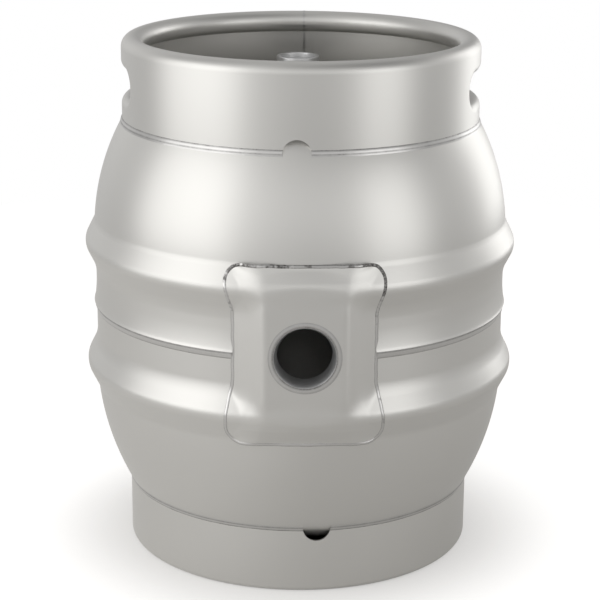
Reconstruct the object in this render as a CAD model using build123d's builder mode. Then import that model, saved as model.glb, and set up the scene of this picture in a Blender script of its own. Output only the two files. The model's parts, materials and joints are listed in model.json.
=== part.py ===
from build123d import *
import os
from math import cos, hypot, radians, sin, tan

# Stainless steel beer cask of nine gallons. Millimetres, +Z up, the origin in the
# middle of the foot on the floor. The shive hole faces -Y.

# Whole cask
overall_height = 478.0
equator_height = 232.6
foot_clearance = 25.5
rim_stand = 33.3
ring_radius = 199.5
sheet = 1.5
overrun = 10.0

# Barrel wall and heads
valley_radius = 190.0
ring_spacing = 114.0
ring_flank_angle = 26.5
ring_crest_bend = 12.0
ring_foot_bend = 15.0
shoulder_radius = 191.1
upper_dome_radius = 215.0
upper_dome_rise = 64.4
lower_dome_radius = 240.0
lower_dome_rise = 55.5
crown_radius = 500.0
knuckle_bend = 42.0

# Lap joint at the girth: the belled upper rim goes over the plain lower rim
lap_clearance = 0.2
lap_length = 8.0
bell_length = 13.0
bell_run = 6.0
girth_weld_leg = 6.5
girth_weld_bulge = 0.5

# Shive panel: a raised insert welded into a window in both halves
panel_face = 199.0
panel_flat_width = 70.8
panel_flat_top = 58.4
panel_flat_bottom = 54.6
panel_facet_angle = 36.0
panel_end_angle = 23.0
panel_depth = 40.0
panel_facet_bend = 8.0
panel_end_bend = 16.0
panel_waist_width = 123.0
panel_shoulder_width = 136.0
panel_waist_top = 37.0
panel_waist_bottom = 27.0
panel_shoulder_top = 57.0
panel_shoulder_bottom = 55.0
panel_top = 78.5
panel_bottom = 81.5
panel_corner_bend = 15.0
panel_side_bend = 25.0
panel_weld_width = 3.4
panel_weld_proud = 0.6

# Shive bush, turned from bar, in the middle of the panel
shive_bush_radius = 27.3
shive_mouth_radius = 25.5
shive_land_radius = 24.0
shive_taper_length = 9.0
shive_bush_length = 18.0
shive_lip = 0.5
shive_edge_break = 0.4
shive_weld_radius = 31.7
shive_weld_proud = 0.4
bush_clearance = 0.2

# Keystone bush, in the upper head near the chime, opposite the shive
keystone_reach = 115.0
keystone_bush_radius = 20.5
keystone_mouth_radius = 17.6
keystone_land_radius = 16.75
keystone_taper_length = 9.0
keystone_bush_length = 24.0
keystone_stand = 9.0
keystone_edge_break = 0.8
keystone_weld_leg = 3.5

# Top chime with its curled rim, hand holds and drain notch. Its hand holds open a share
# of the plain wall between the curl and the dome.
chime_sheet = 2.0
top_chime_radius = 163.6
curl_radius = 10.0
curl_turn = 312.0
hold_width = 121.0
hold_opening_share = 0.4737
hold_bend = 5.0
hold_gap = 1.0
hold_lip_depth = 10.0
notch_radius = 12.4
top_notch_drop = 1.3
top_notch_azimuth = -2.5

# Foot chime with its turned-in foot
foot_chime_radius = 160.8
foot_flange_width = 14.0
foot_bend = 5.0
foot_notch_drop = 0.7
foot_notch_azimuth = 4.5

# Chime welds
seat_clearance = 0.2
chime_weld_leg = 2.6
chime_weld_toe = 1.8
chime_weld_bulge = 0.4
seam_width = 2.2
seam_proud = 0.4

# Section planes through the axis, drawn away from the equator on each side
upward = Plane(origin=(0, 0, equator_height), x_dir=(1, 0, 0), z_dir=(0, -1, 0))
downward = Plane(origin=(0, 0, equator_height), x_dir=(1, 0, 0), z_dir=(0, 1, 0))
ring_rise = ring_spacing / 2
bell_radius = valley_radius + lap_clearance + sheet
reach = ring_radius + overrun

# Each half's dome radius, dome rise and crown height, measured away from the equator
upper_half = (
    upper_dome_radius, upper_dome_rise, overall_height - rim_stand - equator_height
)
lower_half = (lower_dome_radius, lower_dome_rise, equator_height - foot_clearance)


# Forms that several pieces share

def trim_to_half(rim=0):
    """Trim the section being drawn to one side of the axis, from rim past the equator up."""
    Rectangle(reach, 2 * overall_height, align=(Align.MAX, Align.CENTER), mode=Mode.SUBTRACT)
    with Locations((0, -rim)):
        Rectangle(3 * reach, overall_height, align=(Align.CENTER, Align.MAX), mode=Mode.SUBTRACT)


def half_section(half, grow=0, bell=0):
    """Filled section of one half of the barrel, crown upwards, grown by grow all round.
    A bell radius widens its rim."""
    dome_radius, dome_rise, crown_height = half
    dome_inset = dome_radius - shoulder_radius
    flank = radians(ring_flank_angle)
    crest = ring_radius + grow + (ring_crest_bend + grow) * (1 / cos(flank) - 1)
    valley = valley_radius + grow
    root = valley - ring_foot_bend
    run = (crest - root) / tan(flank)
    foot = (crest - valley) / tan(flank)
    with BuildSketch() as section:
        with Locations((-dome_inset, dome_rise)):
            Circle(dome_radius + grow)
        with Locations((dome_inset, dome_rise)):
            Circle(dome_radius + grow, mode=Mode.INTERSECT)
        with Locations((0, crown_height - crown_radius)):
            Circle(crown_radius + grow, mode=Mode.INTERSECT)
        with Locations((0, ring_rise)):
            Rectangle(2 * reach, overall_height, align=(Align.CENTER, Align.MIN), mode=Mode.INTERSECT)
        fillet(section.vertices().group_by(Axis.Y)[-1], knuckle_bend + grow)
        Rectangle(2 * valley, ring_spacing)
        for side in (1, -1):
            Polygon(
                (side * crest, ring_rise),
                (side * root, ring_rise + run),
                (side * root, ring_rise - run),
                align=None,
            )
        crests = section.vertices().group_by(Axis.X)
        fillet(crests[0] + crests[-1], ring_crest_bend + grow)
        feet = section.vertices().filter_by(
            lambda v: abs(abs(v.Y - ring_rise) - foot) < ring_crest_bend / 2 and abs(v.X) > root
        )
        fillet(feet, ring_foot_bend - grow)
        if bell:
            Polygon(
                (bell + grow, -ring_rise),
                (bell + grow, bell_length),
                (valley, bell_length + bell_run),
                (-valley, bell_length + bell_run),
                (-bell - grow, bell_length),
                (-bell - grow, -ring_rise),
                align=None,
            )
    return section.sketch


def sheet_section(half, rim, bell=0):
    """Section of one half as bent sheet, from its crown down to rim past the equator."""
    with BuildSketch() as section:
        add(half_section(half, 0, bell))
        add(half_section(half, -sheet, bell), mode=Mode.SUBTRACT)
        trim_to_half(rim)
    return section.sketch


def panel_block(grow=0):
    """Block with the panel's flat face, sloping sides and sloping ends, grown by grow."""
    facet = radians(panel_facet_angle)
    end = radians(panel_end_angle)
    face = -panel_face - grow
    back = face + panel_depth
    half_flat = panel_flat_width / 2 + grow * tan(facet / 2)
    top = panel_flat_top + grow * tan(end / 2)
    bottom = panel_flat_bottom + grow * tan(end / 2)
    with BuildPart() as block:
        with BuildSketch(Plane.XY) as plan:
            Polygon(
                (-half_flat, face),
                (half_flat, face),
                (half_flat + panel_depth / tan(facet), back),
                (-half_flat - panel_depth / tan(facet), back),
                align=None,
            )
            fillet(plan.vertices().group_by(Axis.Y)[0], panel_facet_bend + grow)
        extrude(amount=overall_height)
        with BuildSketch(Plane.YZ.offset(-reach)) as profile:
            with Locations((0, equator_height)):
                Polygon(
                    (face, -bottom),
                    (back, -bottom - panel_depth / tan(end)),
                    (back, top + panel_depth / tan(end)),
                    (face, top),
                    align=None,
                )
            fillet(profile.vertices().group_by(Axis.X)[0], panel_end_bend + grow)
        extrude(amount=2 * reach, mode=Mode.INTERSECT)
    return block.part


def panel_prism(grow=0):
    """Straight prism out through the front wall, on the panel's outline grown by grow."""
    waist = panel_waist_width / 2 + grow
    shoulder = panel_shoulder_width / 2 + grow
    with BuildPart() as prism:
        with BuildSketch(upward) as outline:
            with BuildLine():
                right = Polyline(
                    (0, -panel_bottom - grow),
                    (shoulder, -panel_bottom - grow),
                    (shoulder, -panel_shoulder_bottom),
                    (waist, -panel_waist_bottom),
                    (waist, panel_waist_top),
                    (shoulder, panel_shoulder_top),
                    (shoulder, panel_top + grow),
                    (0, panel_top + grow),
                )
                mirror(right, about=Plane.YZ)
            make_face()
            corners = outline.vertices().filter_by(lambda v: abs(v.X) > waist / 2)
            rows = corners.group_by(Axis.Y)
            fillet(rows[0] + rows[-1], panel_corner_bend + grow)
            fillet(corner_rows(outline, shoulder, panel_shoulder_top), panel_side_bend + grow)
            fillet(corner_rows(outline, shoulder, -panel_shoulder_bottom), panel_side_bend + grow)
            fillet(corner_rows(outline, waist, panel_waist_top), panel_side_bend - grow)
            fillet(corner_rows(outline, waist, -panel_waist_bottom), panel_side_bend - grow)
        extrude(amount=reach)
    return prism.part


def corner_rows(outline, half_width, height):
    """The outline's two corners at a half width and a height."""
    return outline.vertices().filter_by(
        lambda v: hypot(abs(v.X) - half_width, v.Y - height) < sheet
    )


def barrel_form(grow=0, bell=0):
    """Filled barrel with its raised panel, grown by grow."""
    with BuildPart() as form:
        with BuildSketch(upward):
            add(half_section(upper_half, grow, bell))
            trim_to_half()
        revolve(axis=Axis.Z)
        with BuildSketch(downward):
            add(half_section(lower_half, grow))
            trim_to_half()
        revolve(axis=Axis.Z)
        add(panel_block(grow))
    return form.part


def facing(azimuth, height):
    """Plane through the axis at a height, its normal out at an azimuth from the shive."""
    turn = radians(azimuth)
    across = (cos(turn), sin(turn), 0)
    return Plane(origin=(0, 0, height), x_dir=across, z_dir=(sin(turn), -cos(turn), 0))


def seam_slot(notch_azimuth, height):
    """Upright radial slot where the ends of a chime's strip meet, opposite its drain notch."""
    with BuildPart() as slot:
        with BuildSketch(facing(notch_azimuth + 180, 0)):
            Rectangle(seam_width, 2 * height, align=(Align.CENTER, Align.CENTER))
        extrude(amount=reach)
    return slot.part


def drain_notch(azimuth, height):
    """Round bar from the axis out, which cuts a chime's drain notch."""
    with BuildPart() as bar:
        with BuildSketch(facing(azimuth, height)):
            Circle(notch_radius)
        extrude(amount=reach)
    return bar.part


def height_at(radius, half):
    """Height, away from the equator, at which a half's outer face has a radius."""
    dome_radius, dome_rise, crown_height = half
    upright = Edge.make_line((radius, 0), (radius, crown_height))
    return (upright & half_section(half).face()).edge().bounding_box().max.Y


def chime_weld_section(radius, half):
    """Fillet bead in the corner between the dome and a chime's outer face."""
    corner = height_at(radius, half)
    toe_radius = radius + chime_weld_toe
    toe_height = height_at(toe_radius, half)
    top_height = corner + chime_weld_leg
    crest = (
        (radius + toe_radius) / 2 + chime_weld_bulge,
        (top_height + toe_height) / 2,
    )
    with BuildSketch() as section:
        with BuildLine():
            ThreePointArc((toe_radius, toe_height), crest, (radius, top_height))
            Polyline(
                (radius, top_height),
                (radius - chime_sheet, corner),
                (toe_radius, toe_height),
            )
        make_face()
        add(half_section(half), mode=Mode.SUBTRACT)
        with Locations((radius, corner)):
            Rectangle(
                radius, overall_height, align=(Align.MAX, Align.CENTER), mode=Mode.SUBTRACT
            )
    return section.sketch


# Barrel

with BuildPart() as upper_shell:
    with BuildSketch(upward):
        add(sheet_section(upper_half, 0, bell_radius))
    revolve(axis=Axis.Z)
    add(panel_prism(), mode=Mode.SUBTRACT)
    with BuildSketch(Plane.XY.offset(equator_height)):
        with Locations((0, keystone_reach)):
            Circle(keystone_bush_radius + bush_clearance)
    extrude(amount=overall_height, mode=Mode.SUBTRACT)

with BuildPart() as lower_shell:
    with BuildSketch(downward):
        add(sheet_section(lower_half, lap_length))
    revolve(axis=Axis.Z)
    add(panel_prism(), mode=Mode.SUBTRACT)

with BuildPart() as shive_panel:
    add(barrel_form())
    add(barrel_form(-sheet), mode=Mode.SUBTRACT)
    add(panel_prism(), mode=Mode.INTERSECT)
    with BuildSketch(upward):
        Circle(shive_bush_radius + bush_clearance)
    extrude(amount=reach, mode=Mode.SUBTRACT)

with BuildPart() as shive_panel_weld:
    add(barrel_form(panel_weld_proud, bell_radius))
    add(panel_prism(panel_weld_width / 2), mode=Mode.INTERSECT)
    add(panel_prism(-panel_weld_width / 2), mode=Mode.SUBTRACT)
    add(barrel_form(), mode=Mode.SUBTRACT)
    add(upper_shell.part, mode=Mode.SUBTRACT)

with BuildPart() as girth_weld:
    with BuildSketch(downward):
        toe_radius = valley_radius + lap_clearance
        with BuildLine():
            ThreePointArc(
                (bell_radius, 0),
                ((bell_radius + toe_radius) / 2 + girth_weld_bulge, girth_weld_leg / 2),
                (toe_radius, girth_weld_leg),
            )
            Polyline((toe_radius, girth_weld_leg), (toe_radius, 0), (bell_radius, 0))
        make_face()
    revolve(axis=Axis.Z)
    add(panel_prism(panel_weld_width / 2), mode=Mode.SUBTRACT)


# Bushes

shive_plane = Plane(origin=(0, -panel_face, equator_height), x_dir=(0, 1, 0), z_dir=(1, 0, 0))
shive_axis = Axis((0, 0, equator_height), (0, 1, 0))

with BuildPart() as shive_bush:
    with BuildSketch(shive_plane) as shive_profile:
        Polygon(
            (-shive_lip, shive_mouth_radius),
            (-shive_lip, shive_bush_radius),
            (shive_bush_length, shive_bush_radius),
            (shive_bush_length, shive_land_radius),
            (shive_taper_length, shive_land_radius),
            align=None,
        )
        chamfer(shive_profile.vertices().group_by(Axis.X)[0], shive_edge_break)
    revolve(axis=shive_axis)

with BuildPart() as shive_bush_weld:
    with BuildSketch(shive_plane):
        Polygon(
            (0, shive_bush_radius),
            (-shive_weld_proud, shive_bush_radius),
            (-shive_weld_proud, (shive_bush_radius + shive_weld_radius) / 2),
            (0, shive_weld_radius),
            align=None,
        )
    revolve(axis=shive_axis)

keystone_rim = equator_height + height_at(keystone_reach, upper_half) + keystone_stand
keystone_plane = Plane(
    origin=(0, keystone_reach, keystone_rim), x_dir=(1, 0, 0), z_dir=(0, -1, 0)
)
keystone_axis = Axis((0, keystone_reach, 0), (0, 0, 1))

with BuildPart() as keystone_bush:
    with BuildSketch(keystone_plane) as keystone_profile:
        Polygon(
            (keystone_mouth_radius, 0),
            (keystone_bush_radius, 0),
            (keystone_bush_radius, -keystone_bush_length),
            (keystone_land_radius, -keystone_bush_length),
            (keystone_land_radius, -keystone_taper_length),
            align=None,
        )
        chamfer(keystone_profile.vertices().group_by(Axis.Y)[-1], keystone_edge_break)
    revolve(axis=keystone_axis)

with BuildPart() as keystone_bush_weld:
    with BuildSketch(upward):
        add(half_section(upper_half))
        trim_to_half()
    revolve(axis=Axis.Z)
    with BuildSketch(Plane.XY.offset(equator_height)):
        with Locations((0, keystone_reach)):
            Circle(keystone_bush_radius)
    extrude(amount=keystone_rim - equator_height)
    joint = keystone_bush_weld.edges(Select.LAST).filter_by(
        lambda e: equator_height < e.center().Z < keystone_rim - keystone_edge_break
    )
    joint = joint.filter_by(GeomType.LINE, reverse=True)
    fillet(joint, keystone_weld_leg)
    with BuildSketch(upward):
        add(half_section(upper_half))
        trim_to_half()
    revolve(axis=Axis.Z, mode=Mode.SUBTRACT)
    with BuildSketch(Plane.XY.offset(equator_height)):
        with Locations((0, keystone_reach)):
            Circle(keystone_bush_radius)
    extrude(amount=overall_height, mode=Mode.SUBTRACT)


# Top chime

curl_centre = (top_chime_radius - curl_radius, overall_height - curl_radius - equator_height)
top_seat = equator_height + height_at(top_chime_radius, upper_half)
top_notch_height = top_seat - top_notch_drop
curl_foot = overall_height - 2 * curl_radius
hold_opening = hold_opening_share * (curl_foot - top_seat)
hold_height = curl_foot - hold_gap - chime_sheet - hold_bend - hold_opening / 2
hold_plane = facing(top_notch_azimuth + 90, hold_height)


def top_chime_section(grow=0):
    """Section of the top chime: an upright wall whose rim is curled inwards."""
    with BuildSketch() as section:
        with BuildLine():
            outer = CenterArc(curl_centre, curl_radius + grow, 0, curl_turn)
            inner = CenterArc(curl_centre, curl_radius - chime_sheet - grow, 0, curl_turn)
            Line(outer @ 1, inner @ 1)
            Polyline(
                outer @ 0,
                (top_chime_radius + grow, upper_dome_rise),
                (top_chime_radius - chime_sheet - grow, upper_dome_rise),
                inner @ 0,
            )
        make_face()
        add(half_section(upper_half, seat_clearance), mode=Mode.SUBTRACT)
    return section.sketch


def hold_band(bend, depth):
    """Both hand-hold slots, grown by bend and cut back to depth inside the chime's face."""
    with BuildPart() as band:
        with BuildSketch(hold_plane):
            SlotOverall(hold_width + 2 * bend, hold_opening + 2 * bend)
        extrude(amount=reach, both=True)
        with Locations((0, 0, hold_height)):
            Cylinder(top_chime_radius - chime_sheet / 2, overall_height, mode=Mode.INTERSECT)
            Cylinder(top_chime_radius - depth, overall_height, mode=Mode.SUBTRACT)
    return band.part


def at_radius(radius):
    """Test for an edge whose middle lies at a radius from the cask's axis."""
    return lambda e: abs(hypot((e @ 0.5).X, (e @ 0.5).Y) - radius) < chime_sheet / 4


with BuildPart() as top_chime:
    with BuildSketch(upward):
        add(top_chime_section())
    revolve(axis=Axis.Z)
    add(hold_band(chime_sheet, hold_lip_depth))
    roots = top_chime.edges(Select.LAST).filter_by(at_radius(top_chime_radius - chime_sheet))
    fillet(roots, hold_bend)
    with BuildSketch(hold_plane):
        SlotOverall(hold_width, hold_opening)
    extrude(amount=reach, both=True, mode=Mode.SUBTRACT)
    mouths = top_chime.edges(Select.LAST).filter_by(at_radius(top_chime_radius))
    fillet(mouths, hold_bend + chime_sheet)
    add(drain_notch(top_notch_azimuth, top_notch_height), mode=Mode.SUBTRACT)
    add(seam_slot(top_notch_azimuth, overall_height + overrun), mode=Mode.SUBTRACT)

with BuildPart() as top_chime_weld:
    with BuildSketch(upward):
        add(chime_weld_section(top_chime_radius, upper_half))
    revolve(axis=Axis.Z)
    add(drain_notch(top_notch_azimuth, top_notch_height), mode=Mode.SUBTRACT)

with BuildPart() as top_chime_seam_weld:
    with BuildSketch(upward):
        add(top_chime_section(seam_proud))
        add(chime_weld_section(top_chime_radius, upper_half), mode=Mode.SUBTRACT)
    revolve(axis=Axis.Z)
    add(seam_slot(top_notch_azimuth, overall_height), mode=Mode.INTERSECT)


# Foot chime

foot_notch_height = (
    equator_height - height_at(foot_chime_radius, lower_half) + foot_notch_drop
)


def foot_chime_section(grow=0):
    """Section of the foot chime: an upright wall turned in at the floor."""
    outside = foot_chime_radius + grow
    inside = foot_chime_radius - chime_sheet - grow
    foot = equator_height - chime_sheet - grow
    with BuildSketch() as section:
        with Locations((outside, lower_dome_rise)):
            Rectangle(
                outside - inside, equator_height - lower_dome_rise, align=(Align.MAX, Align.MIN)
            )
        with Locations((outside, foot)):
            Rectangle(
                foot_flange_width + 2 * grow, chime_sheet + grow, align=(Align.MAX, Align.MIN)
            )
        heel = section.vertices().filter_by(
            lambda v: hypot(v.X - outside, v.Y - equator_height) < chime_sheet / 2
        )
        fillet(heel, foot_bend + grow)
        toe = section.vertices().filter_by(
            lambda v: hypot(v.X - inside, v.Y - foot) < chime_sheet / 2
        )
        fillet(toe, foot_bend - chime_sheet - grow)
        add(half_section(lower_half, seat_clearance), mode=Mode.SUBTRACT)
    return section.sketch


with BuildPart() as foot_chime:
    with BuildSketch(downward):
        add(foot_chime_section())
    revolve(axis=Axis.Z)
    add(drain_notch(foot_notch_azimuth, foot_notch_height), mode=Mode.SUBTRACT)
    add(seam_slot(foot_notch_azimuth, overall_height), mode=Mode.SUBTRACT)

with BuildPart() as foot_chime_weld:
    with BuildSketch(downward):
        add(chime_weld_section(foot_chime_radius, lower_half))
    revolve(axis=Axis.Z)
    add(drain_notch(foot_notch_azimuth, foot_notch_height), mode=Mode.SUBTRACT)

with BuildPart() as foot_chime_seam_weld:
    with BuildSketch(downward):
        add(foot_chime_section(seam_proud))
        add(chime_weld_section(foot_chime_radius, lower_half), mode=Mode.SUBTRACT)
    revolve(axis=Axis.Z)
    add(seam_slot(foot_notch_azimuth, overall_height), mode=Mode.INTERSECT)


# Labels and files

upper_shell.part.label = "upper_shell"
lower_shell.part.label = "lower_shell"
shive_panel.part.label = "shive_panel"
shive_panel_weld.part.label = "shive_panel_weld"
girth_weld.part.label = "girth_weld"
shive_bush.part.label = "shive_bush"
shive_bush_weld.part.label = "shive_bush_weld"
keystone_bush.part.label = "keystone_bush"
keystone_bush_weld.part.label = "keystone_bush_weld"
top_chime.part.label = "top_chime"
top_chime_weld.part.label = "top_chime_weld"
top_chime_seam_weld.part.label = "top_chime_seam_weld"
foot_chime.part.label = "foot_chime"
foot_chime_weld.part.label = "foot_chime_weld"
foot_chime_seam_weld.part.label = "foot_chime_seam_weld"

os.makedirs("parts", exist_ok=True)
export_step(upper_shell.part, "parts/upper_shell.step")
export_step(lower_shell.part, "parts/lower_shell.step")
export_step(shive_panel.part, "parts/shive_panel.step")
export_step(shive_panel_weld.part, "parts/shive_panel_weld.step")
export_step(girth_weld.part, "parts/girth_weld.step")
export_step(shive_bush.part, "parts/shive_bush.step")
export_step(shive_bush_weld.part, "parts/shive_bush_weld.step")
export_step(keystone_bush.part, "parts/keystone_bush.step")
export_step(keystone_bush_weld.part, "parts/keystone_bush_weld.step")
export_step(top_chime.part, "parts/top_chime.step")
export_step(top_chime_weld.part, "parts/top_chime_weld.step")
export_step(top_chime_seam_weld.part, "parts/top_chime_seam_weld.step")
export_step(foot_chime.part, "parts/foot_chime.step")
export_step(foot_chime_weld.part, "parts/foot_chime_weld.step")
export_step(foot_chime_seam_weld.part, "parts/foot_chime_seam_weld.step")
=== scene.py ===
import json
import math

import bmesh
import bpy
from bpy.props import FloatProperty, FloatVectorProperty, PointerProperty
from bpy.types import Operator, Panel, PropertyGroup
from mathutils import Matrix, Vector, geometry, noise


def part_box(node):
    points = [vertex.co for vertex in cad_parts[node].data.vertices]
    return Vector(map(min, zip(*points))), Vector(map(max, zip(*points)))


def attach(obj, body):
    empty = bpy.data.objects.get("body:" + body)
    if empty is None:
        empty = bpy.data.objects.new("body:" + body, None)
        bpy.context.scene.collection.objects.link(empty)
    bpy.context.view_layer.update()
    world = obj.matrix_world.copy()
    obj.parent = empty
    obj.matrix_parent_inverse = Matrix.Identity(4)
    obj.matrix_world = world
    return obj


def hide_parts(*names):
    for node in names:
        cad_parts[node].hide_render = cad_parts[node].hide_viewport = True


bl_info = {
    "name": "Stainless steel cask",
    "version": (1, 0, 0),
    "blender": (4, 5, 0),
    "location": "3D View > Sidebar > Cask",
    "description": "Models and finishes a welded stainless steel beer cask",
    "category": "Object",
}

MM = 0.001
OVERRUN = 40 * MM  # how far a cutter runs past what it cuts

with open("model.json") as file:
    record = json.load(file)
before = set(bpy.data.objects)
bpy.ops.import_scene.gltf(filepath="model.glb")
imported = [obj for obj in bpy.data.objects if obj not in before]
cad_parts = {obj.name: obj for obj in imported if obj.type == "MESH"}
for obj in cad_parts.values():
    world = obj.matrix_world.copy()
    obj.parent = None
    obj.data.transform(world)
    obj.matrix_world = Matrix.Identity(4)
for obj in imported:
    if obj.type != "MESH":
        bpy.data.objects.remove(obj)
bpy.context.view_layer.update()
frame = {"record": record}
mounts = {mount["name"]: mount for mount in frame["record"]["mounts"]}


# Settings that a user would change

def length(name, description, metres):
    """A size in metres."""
    return FloatProperty(name=name, description=description, default=metres, unit="LENGTH")


def angle(name, description, degrees):
    """An angle, given in degrees and kept in radians."""
    return FloatProperty(
        name=name, description=description, default=math.radians(degrees), subtype="ANGLE"
    )


def from_hex(text):
    """Turns an sRGB hex colour into linear red, green and blue."""
    shades = [int(text[start:start + 2], 16) / 255 for start in (1, 3, 5)]
    return [s / 12.92 if s <= 0.04045 else ((s + 0.055) / 1.055) ** 2.4 for s in shades]


def colour(name, description, text):
    """A colour, given as sRGB hex and kept as linear values."""
    return FloatVectorProperty(
        name=name, description=description, default=from_hex(text), subtype="COLOR",
        min=0.0, max=1.0,
    )


def level(name, description, value):
    """A plain number, such as a strength or a roughness."""
    return FloatProperty(name=name, description=description, default=value, min=0.0)


class CaskBarrel(PropertyGroup):
    """Sizes of the two drawn halves of the vessel."""

    sheet: length("Sheet", "Thickness of the vessel's sheet", 1.5 * MM)
    equator: length("Equator", "Height of the girth joint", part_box("upper_shell")[0].z)
    upper_crown: length("Upper crown", "Height of the upper head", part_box("upper_shell")[1].z)
    lower_crown: length("Lower crown", "Height of the lower head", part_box("lower_shell")[0].z)
    ring_radius: length("Ring radius", "Radius of a ring's crest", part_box("lower_shell")[1].x)
    ring_rise: length("Ring rise", "Distance of each ring from the equator", 57.0 * MM)
    ring_flank: angle("Ring flank", "Slope of a ring's flanks to the axis", 26.5)
    ring_crest_bend: length("Crest bend", "Bend at a ring's crest", 12.0 * MM)
    ring_foot_bend: length("Foot bend", "Bend between the wall and a ring's flank", 32.0 * MM)
    ring_root_bend: length("Root bend", "Bend between a ring's flank and the dome", 15.0 * MM)
    valley_radius: length("Valley radius", "Radius between the rings", 190.0 * MM)
    shoulder_radius: length("Shoulder radius", "Radius where a dome starts", 191.1 * MM)
    upper_dome_radius: length("Upper dome", "Radius of the upper dome's side arc", 215.0 * MM)
    upper_dome_rise: length("Upper dome rise", "Equator to the upper dome", 64.4 * MM)
    lower_dome_radius: length("Lower dome", "Radius of the lower dome's side arc", 240.0 * MM)
    lower_dome_rise: length("Lower dome rise", "Equator to the lower dome", 55.5 * MM)
    crown_radius: length("Crown radius", "Radius of a head's flat crown", 500.0 * MM)
    knuckle_bend: length("Knuckle bend", "Bend between dome and crown", 42.0 * MM)
    lap_length: length("Lap", "Length of the plain rim inside the bell", 8.0 * MM)
    bell_radius: length("Bell radius", "Radius of the upper half's wide rim", 191.7 * MM)
    bell_flare: length("Bell flare", "Height of the flare to the wide rim", 11.5 * MM)
    bell_lip: length("Bell lip", "Height of the rim's turned-out edge", 1.4 * MM)
    bell_lip_reach: length("Bell lip reach", "Reach of the rim's turned-out edge", 0.6 * MM)
    bell_bend: length("Bell bend", "Bend between the wall and the flare", 105.0 * MM)


class CaskPanel(PropertyGroup):
    """Sizes of the raised insert that holds the shive bush."""

    face: length("Face", "Distance of the flat face from the axis", -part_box("shive_panel")[0].y)
    top: length("Top", "Height of the top edge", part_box("shive_panel")[1].z)
    bottom: length("Bottom", "Height of the bottom edge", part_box("shive_panel")[0].z)
    shoulder: length("Shoulder", "Greatest half width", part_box("shive_panel")[1].x)
    waist: length("Waist", "Half width beside the bush", 61.5 * MM)
    waist_top: length("Waist top", "Equator to the waist's upper end", 37.0 * MM)
    waist_bottom: length("Waist bottom", "Equator to the waist's lower end", 27.0 * MM)
    shoulder_top: length("Shoulder top", "Equator to the upper shoulder", 57.0 * MM)
    shoulder_bottom: length("Shoulder bottom", "Equator to the lower shoulder", 55.0 * MM)
    corner_bend: length("Corner bend", "Bend of the four outer corners", 15.0 * MM)
    side_bend: length("Side bend", "Bend along the wavy sides", 25.0 * MM)
    flat_width: length("Flat width", "Width of the flat face", 70.8 * MM)
    flat_top: length("Flat top", "Equator to the flat face's upper end", 58.4 * MM)
    flat_bottom: length("Flat bottom", "Equator to the flat face's lower end", 54.6 * MM)
    facet: angle("Facet", "Slope of the side facets", 36.0)
    end_facet: angle("End facet", "Slope of the end facets", 23.0)
    crease: length("Crease", "Softness of the facet edges", 2.6 * MM)
    end_crease: length("End crease", "Softness of the edges above and below", 9.0 * MM)
    root: length("Root", "Softness where the insert leaves the barrel", 8.0 * MM)
    root_run: length("Root run", "Distance from the weld where that softness is full", 14.0 * MM)
    grid: length("Grid", "Spacing of the pressed surface's mesh", 1.2 * MM)
    margin: length("Margin", "Width of the pressed surface that is cut off", 4.0 * MM)
    front_blend: length("Front blend", "Softness of the insert's furthest stretch", 1.0 * MM)


class CaskBushes(PropertyGroup):
    """Sizes of the two turned bushes."""

    shive_radius: length("Shive bush radius", "Outside of the bush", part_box("shive_bush")[1].x)
    shive_front: length("Shive front", "Front of the bush", -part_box("shive_bush")[0].y)
    shive_back: length("Shive back", "Inner end of the bush", -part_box("shive_bush")[1].y)
    shive_mouth: length("Shive mouth", "Radius of the mouth", 25.5 * MM)
    shive_lip: length("Shive lip", "Radius of the lip round the mouth", 27.0 * MM)
    shive_entry: length("Shive entry", "Depth of the rounded way in", 4.0 * MM)
    groove_width: length("Lip groove width", "Width of the groove round the lip", 1.2 * MM)
    groove_depth: length("Lip groove depth", "Depth of the groove round the lip", 1.4 * MM)
    shive_land: length("Shive land", "Radius of the bore", 24.0 * MM)
    shive_taper: length("Shive taper", "Length of the taper", 9.5 * MM)
    keystone_radius: length("Keystone bush radius", "Outside of the bush", 20.5 * MM)
    keystone_reach: length(
        "Keystone reach", "Distance of the bush from the axis", mounts["keystone_bore"]["pos_m"][1]
    )
    keystone_top: length("Keystone top", "Height of the rim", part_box("keystone_bush")[1].z)
    keystone_foot: length("Keystone foot", "Height of the end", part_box("keystone_bush")[0].z)
    keystone_mouth: length("Keystone mouth", "Radius of the mouth", 17.6 * MM)
    keystone_land: length("Keystone land", "Radius of the bore", 16.75 * MM)
    keystone_taper: length("Keystone taper", "Length of the taper", 9.0 * MM)
    edge_break: length("Edge break", "Broken edge of each turned rim", 0.5 * MM)
    entry_bend: length("Entry bend", "Bend between the taper and the way in", 18.0 * MM)


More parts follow.
